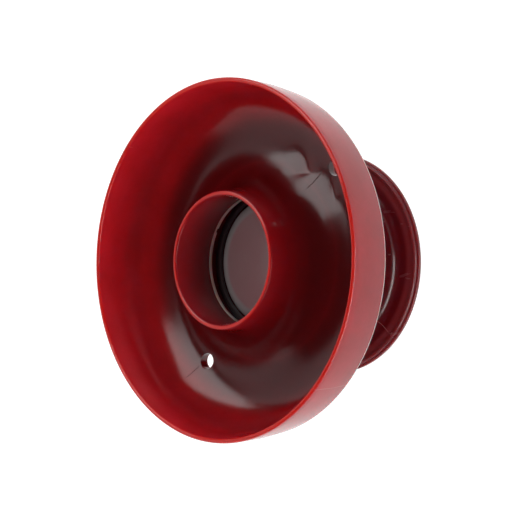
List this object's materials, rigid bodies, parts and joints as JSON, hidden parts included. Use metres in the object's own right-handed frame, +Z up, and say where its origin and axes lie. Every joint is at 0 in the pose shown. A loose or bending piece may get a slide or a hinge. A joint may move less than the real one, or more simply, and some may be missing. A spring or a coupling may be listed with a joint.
{
  "type": "poultry waterer fount",
  "caption": "Round drinking bowl with a central float tube on a flanged pedestal, fed from below through a float-operated lever valve.",
  "frame": {"origin": "centre of the pedestal's underside, on the axis of the bowl", "axes": "+Z up along the bowl's axis, out of the open bowl; +X from the centre away from the float lever's long arm; +Y completes the right-handed frame"},
  "size_m": [0.2, 0.2, 0.1],
  "materials": {
    "red_bowl": "glossy deep red injection moulding",
    "red_pedestal": "glossy deep red injection moulding",
    "red_lock_ring": "satin deep red injection moulding",
    "black_rubber": "matt black moulded rubber",
    "ivory_acetal": "semi-matt ivory acetal",
    "ivory_nylon": "semi-matt ivory nylon",
    "brass": "machined brass",
    "steel": "drawn stainless wire",
    "smoke_float": "glossy translucent smoke grey polypropylene"
  },
  "bodies": {
    "fount": {"trough_bowl": "red_bowl", "pedestal": "red_pedestal", "neck_gasket": "black_rubber", "valve_body": "ivory_acetal", "body_washer": "black_rubber", "lock_nut": "ivory_nylon", "nozzle_seat": "brass", "inlet_screen": "steel", "hose_tail": "ivory_nylon", "tail_washer": "black_rubber", "pivot_pin": "steel", "pivot_clip": "steel"},
    "float": {"float_disc": "smoke_float", "float_hanger": "ivory_acetal", "link_pin": "steel", "link_clip": "steel"},
    "lever": {"lever_arm": "ivory_acetal"},
    "plunger": {"plunger": "ivory_acetal", "plunger_seal": "black_rubber"},
    "lock_ring": {"lock_ring": "red_lock_ring"}
  },
  "joints": [
    {"name": "float_rise", "type": "slide", "parent": "fount", "child": "float", "axis": [0, 0, 1], "range_m": [0, 0.014]},
    {"name": "lever_swing", "type": "hinge", "parent": "fount", "child": "lever", "pos_m": [-0.005, 0, 0.051], "axis": [0, 1, 0], "range_deg": [0, 39]},
    {"name": "plunger_press", "type": "slide", "parent": "fount", "child": "plunger", "axis": [0, 0, -1], "range_m": [0, 0.00334]},
    {"name": "lock_ring_turn", "type": "hinge", "parent": "fount", "child": "lock_ring", "pos_m": [0, 0, 0.0558], "axis": [0, 0, 1], "range_deg": [0, 30]}
  ],
  "couplings": [
    {"joint": "lever_swing", "follows": "float_rise", "rad_per_m": 48.548},
    {"joint": "plunger_press", "follows": "float_rise", "ratio": 0.2381}
  ]
}
